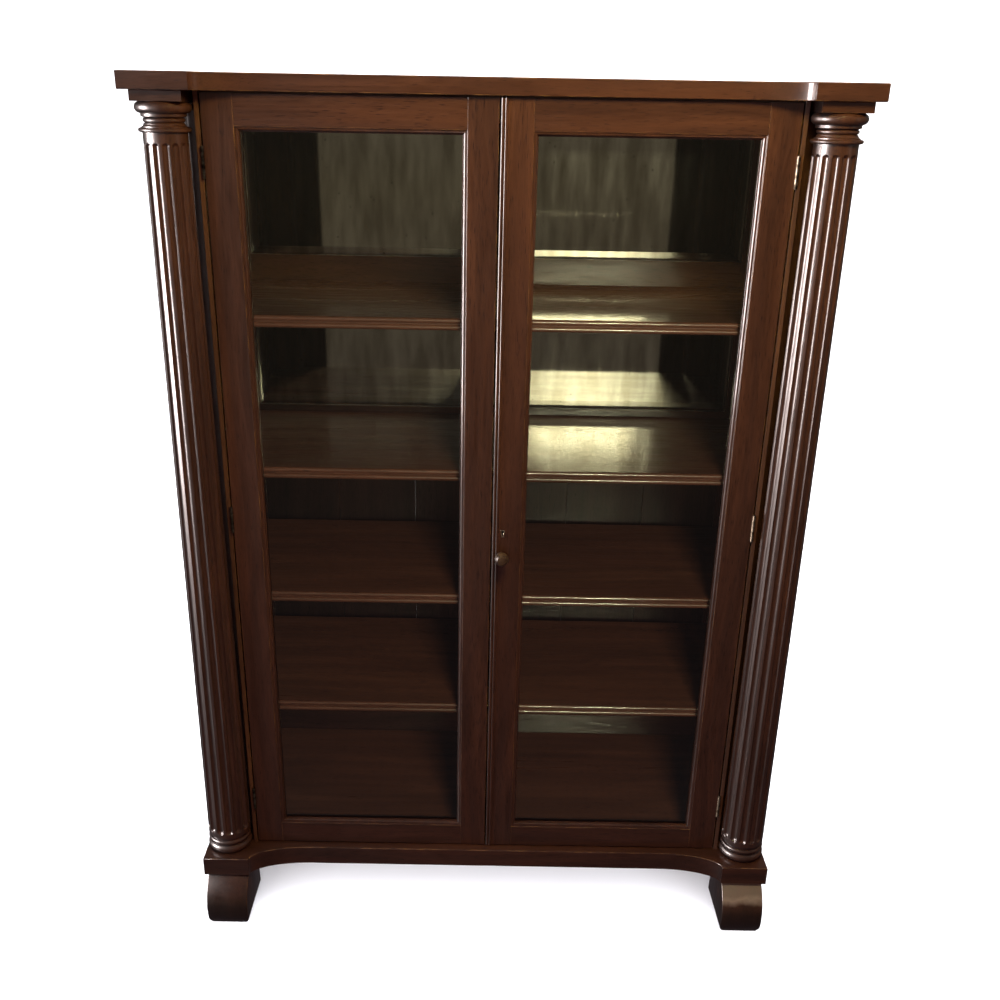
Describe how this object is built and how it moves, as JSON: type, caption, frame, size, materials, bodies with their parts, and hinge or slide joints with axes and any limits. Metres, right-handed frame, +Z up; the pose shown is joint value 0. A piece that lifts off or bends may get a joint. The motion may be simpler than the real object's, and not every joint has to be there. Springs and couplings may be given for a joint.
{
  "type": "display cabinet",
  "caption": "Tall glazed display cabinet with a pair of hinged doors between fluted columns, scroll feet, loose shelves and mirrors in the upper back.",
  "frame": {"origin": "on the floor, under the middle of the whole outline", "axes": "+X to the right of a person who faces the doors, +Y to the back, +Z up"},
  "size_m": [1.22, 0.548, 1.68],
  "materials": {
    "polished_mahogany": "French-polished dark red-brown mahogany",
    "inner_mahogany": "polished mahogany, a little duller",
    "back_board_wood": "stained, thinly polished",
    "aged_brass": "aged brass",
    "lock_steel": "dull steel",
    "door_glass": "clear plate glass",
    "mirror_glass": "silvered and bevelled plate"
  },
  "bodies": {
    "case": {"top_board": "polished_mahogany", "plinth_board": "polished_mahogany", "foot_front_left": "polished_mahogany", "foot_front_right": "polished_mahogany", "column_shaft_left": "polished_mahogany", "column_shaft_right": "polished_mahogany", "capital_left": "polished_mahogany", "capital_right": "polished_mahogany", "abacus_left": "polished_mahogany", "abacus_right": "polished_mahogany", "front_post_left": "polished_mahogany", "front_post_right": "polished_mahogany", "side_stiles_left": "polished_mahogany", "side_stiles_right": "polished_mahogany", "side_rails_left": "polished_mahogany", "side_rails_right": "polished_mahogany", "side_panel_left": "polished_mahogany", "side_panel_right": "polished_mahogany", "foot_rear_left": "inner_mahogany", "foot_rear_right": "inner_mahogany", "case_floor": "inner_mahogany", "head_rail": "inner_mahogany", "shelf_1": "inner_mahogany", "shelf_2": "inner_mahogany", "shelf_3": "inner_mahogany", "shelf_4": "inner_mahogany", "shelf_pegs": "inner_mahogany", "back_stiles": "inner_mahogany", "back_rails": "inner_mahogany", "back_boards": "back_board_wood", "mirror_backing": "back_board_wood", "case_hinge_leaves": "aged_brass", "case_hinge_screws": "aged_brass", "hinge_pins": "aged_brass", "mirror_upper": "mirror_glass", "mirror_lower": "mirror_glass"},
    "left_door": {"left_door_hinge_stile": "polished_mahogany", "left_door_meeting_stile": "polished_mahogany", "left_door_rails": "polished_mahogany", "left_door_sight_moulding": "polished_mahogany", "left_door_glass": "door_glass", "left_door_glazing_beads": "polished_mahogany", "left_door_hinge_leaves": "aged_brass", "left_door_hinge_screws": "aged_brass", "shoot_bolt_plate": "aged_brass"},
    "right_door": {"right_door_hinge_stile": "polished_mahogany", "right_door_meeting_stile": "polished_mahogany", "right_door_rails": "polished_mahogany", "right_door_sight_moulding": "polished_mahogany", "right_door_glass": "door_glass", "right_door_glazing_beads": "polished_mahogany", "right_door_hinge_leaves": "aged_brass", "right_door_hinge_screws": "aged_brass", "meeting_bead": "polished_mahogany", "knob": "polished_mahogany", "escutcheon": "aged_brass", "lock_case": "lock_steel"},
    "lock_bolt": {"lock_bolt": "aged_brass"},
    "shoot_bolt": {"shoot_bolt": "aged_brass"}
  },
  "joints": [
    {"name": "left_door_hinge", "type": "hinge", "parent": "case", "child": "left_door", "pos_m": [-0.4945, -0.185, 0.903], "axis": [0, 0, -1], "range_deg": [0, 100]},
    {"name": "right_door_hinge", "type": "hinge", "parent": "case", "child": "right_door", "pos_m": [0.4945, -0.185, 0.903], "axis": [0, 0, 1], "range_deg": [0, 100]},
    {"name": "lock_bolt_slide", "type": "slide", "parent": "right_door", "child": "lock_bolt", "axis": [-1, 0, 0], "range_m": [0, 0.009]},
    {"name": "shoot_bolt_slide", "type": "slide", "parent": "left_door", "child": "shoot_bolt", "axis": [0, 0, 1], "range_m": [0, 0.011]}
  ]
}
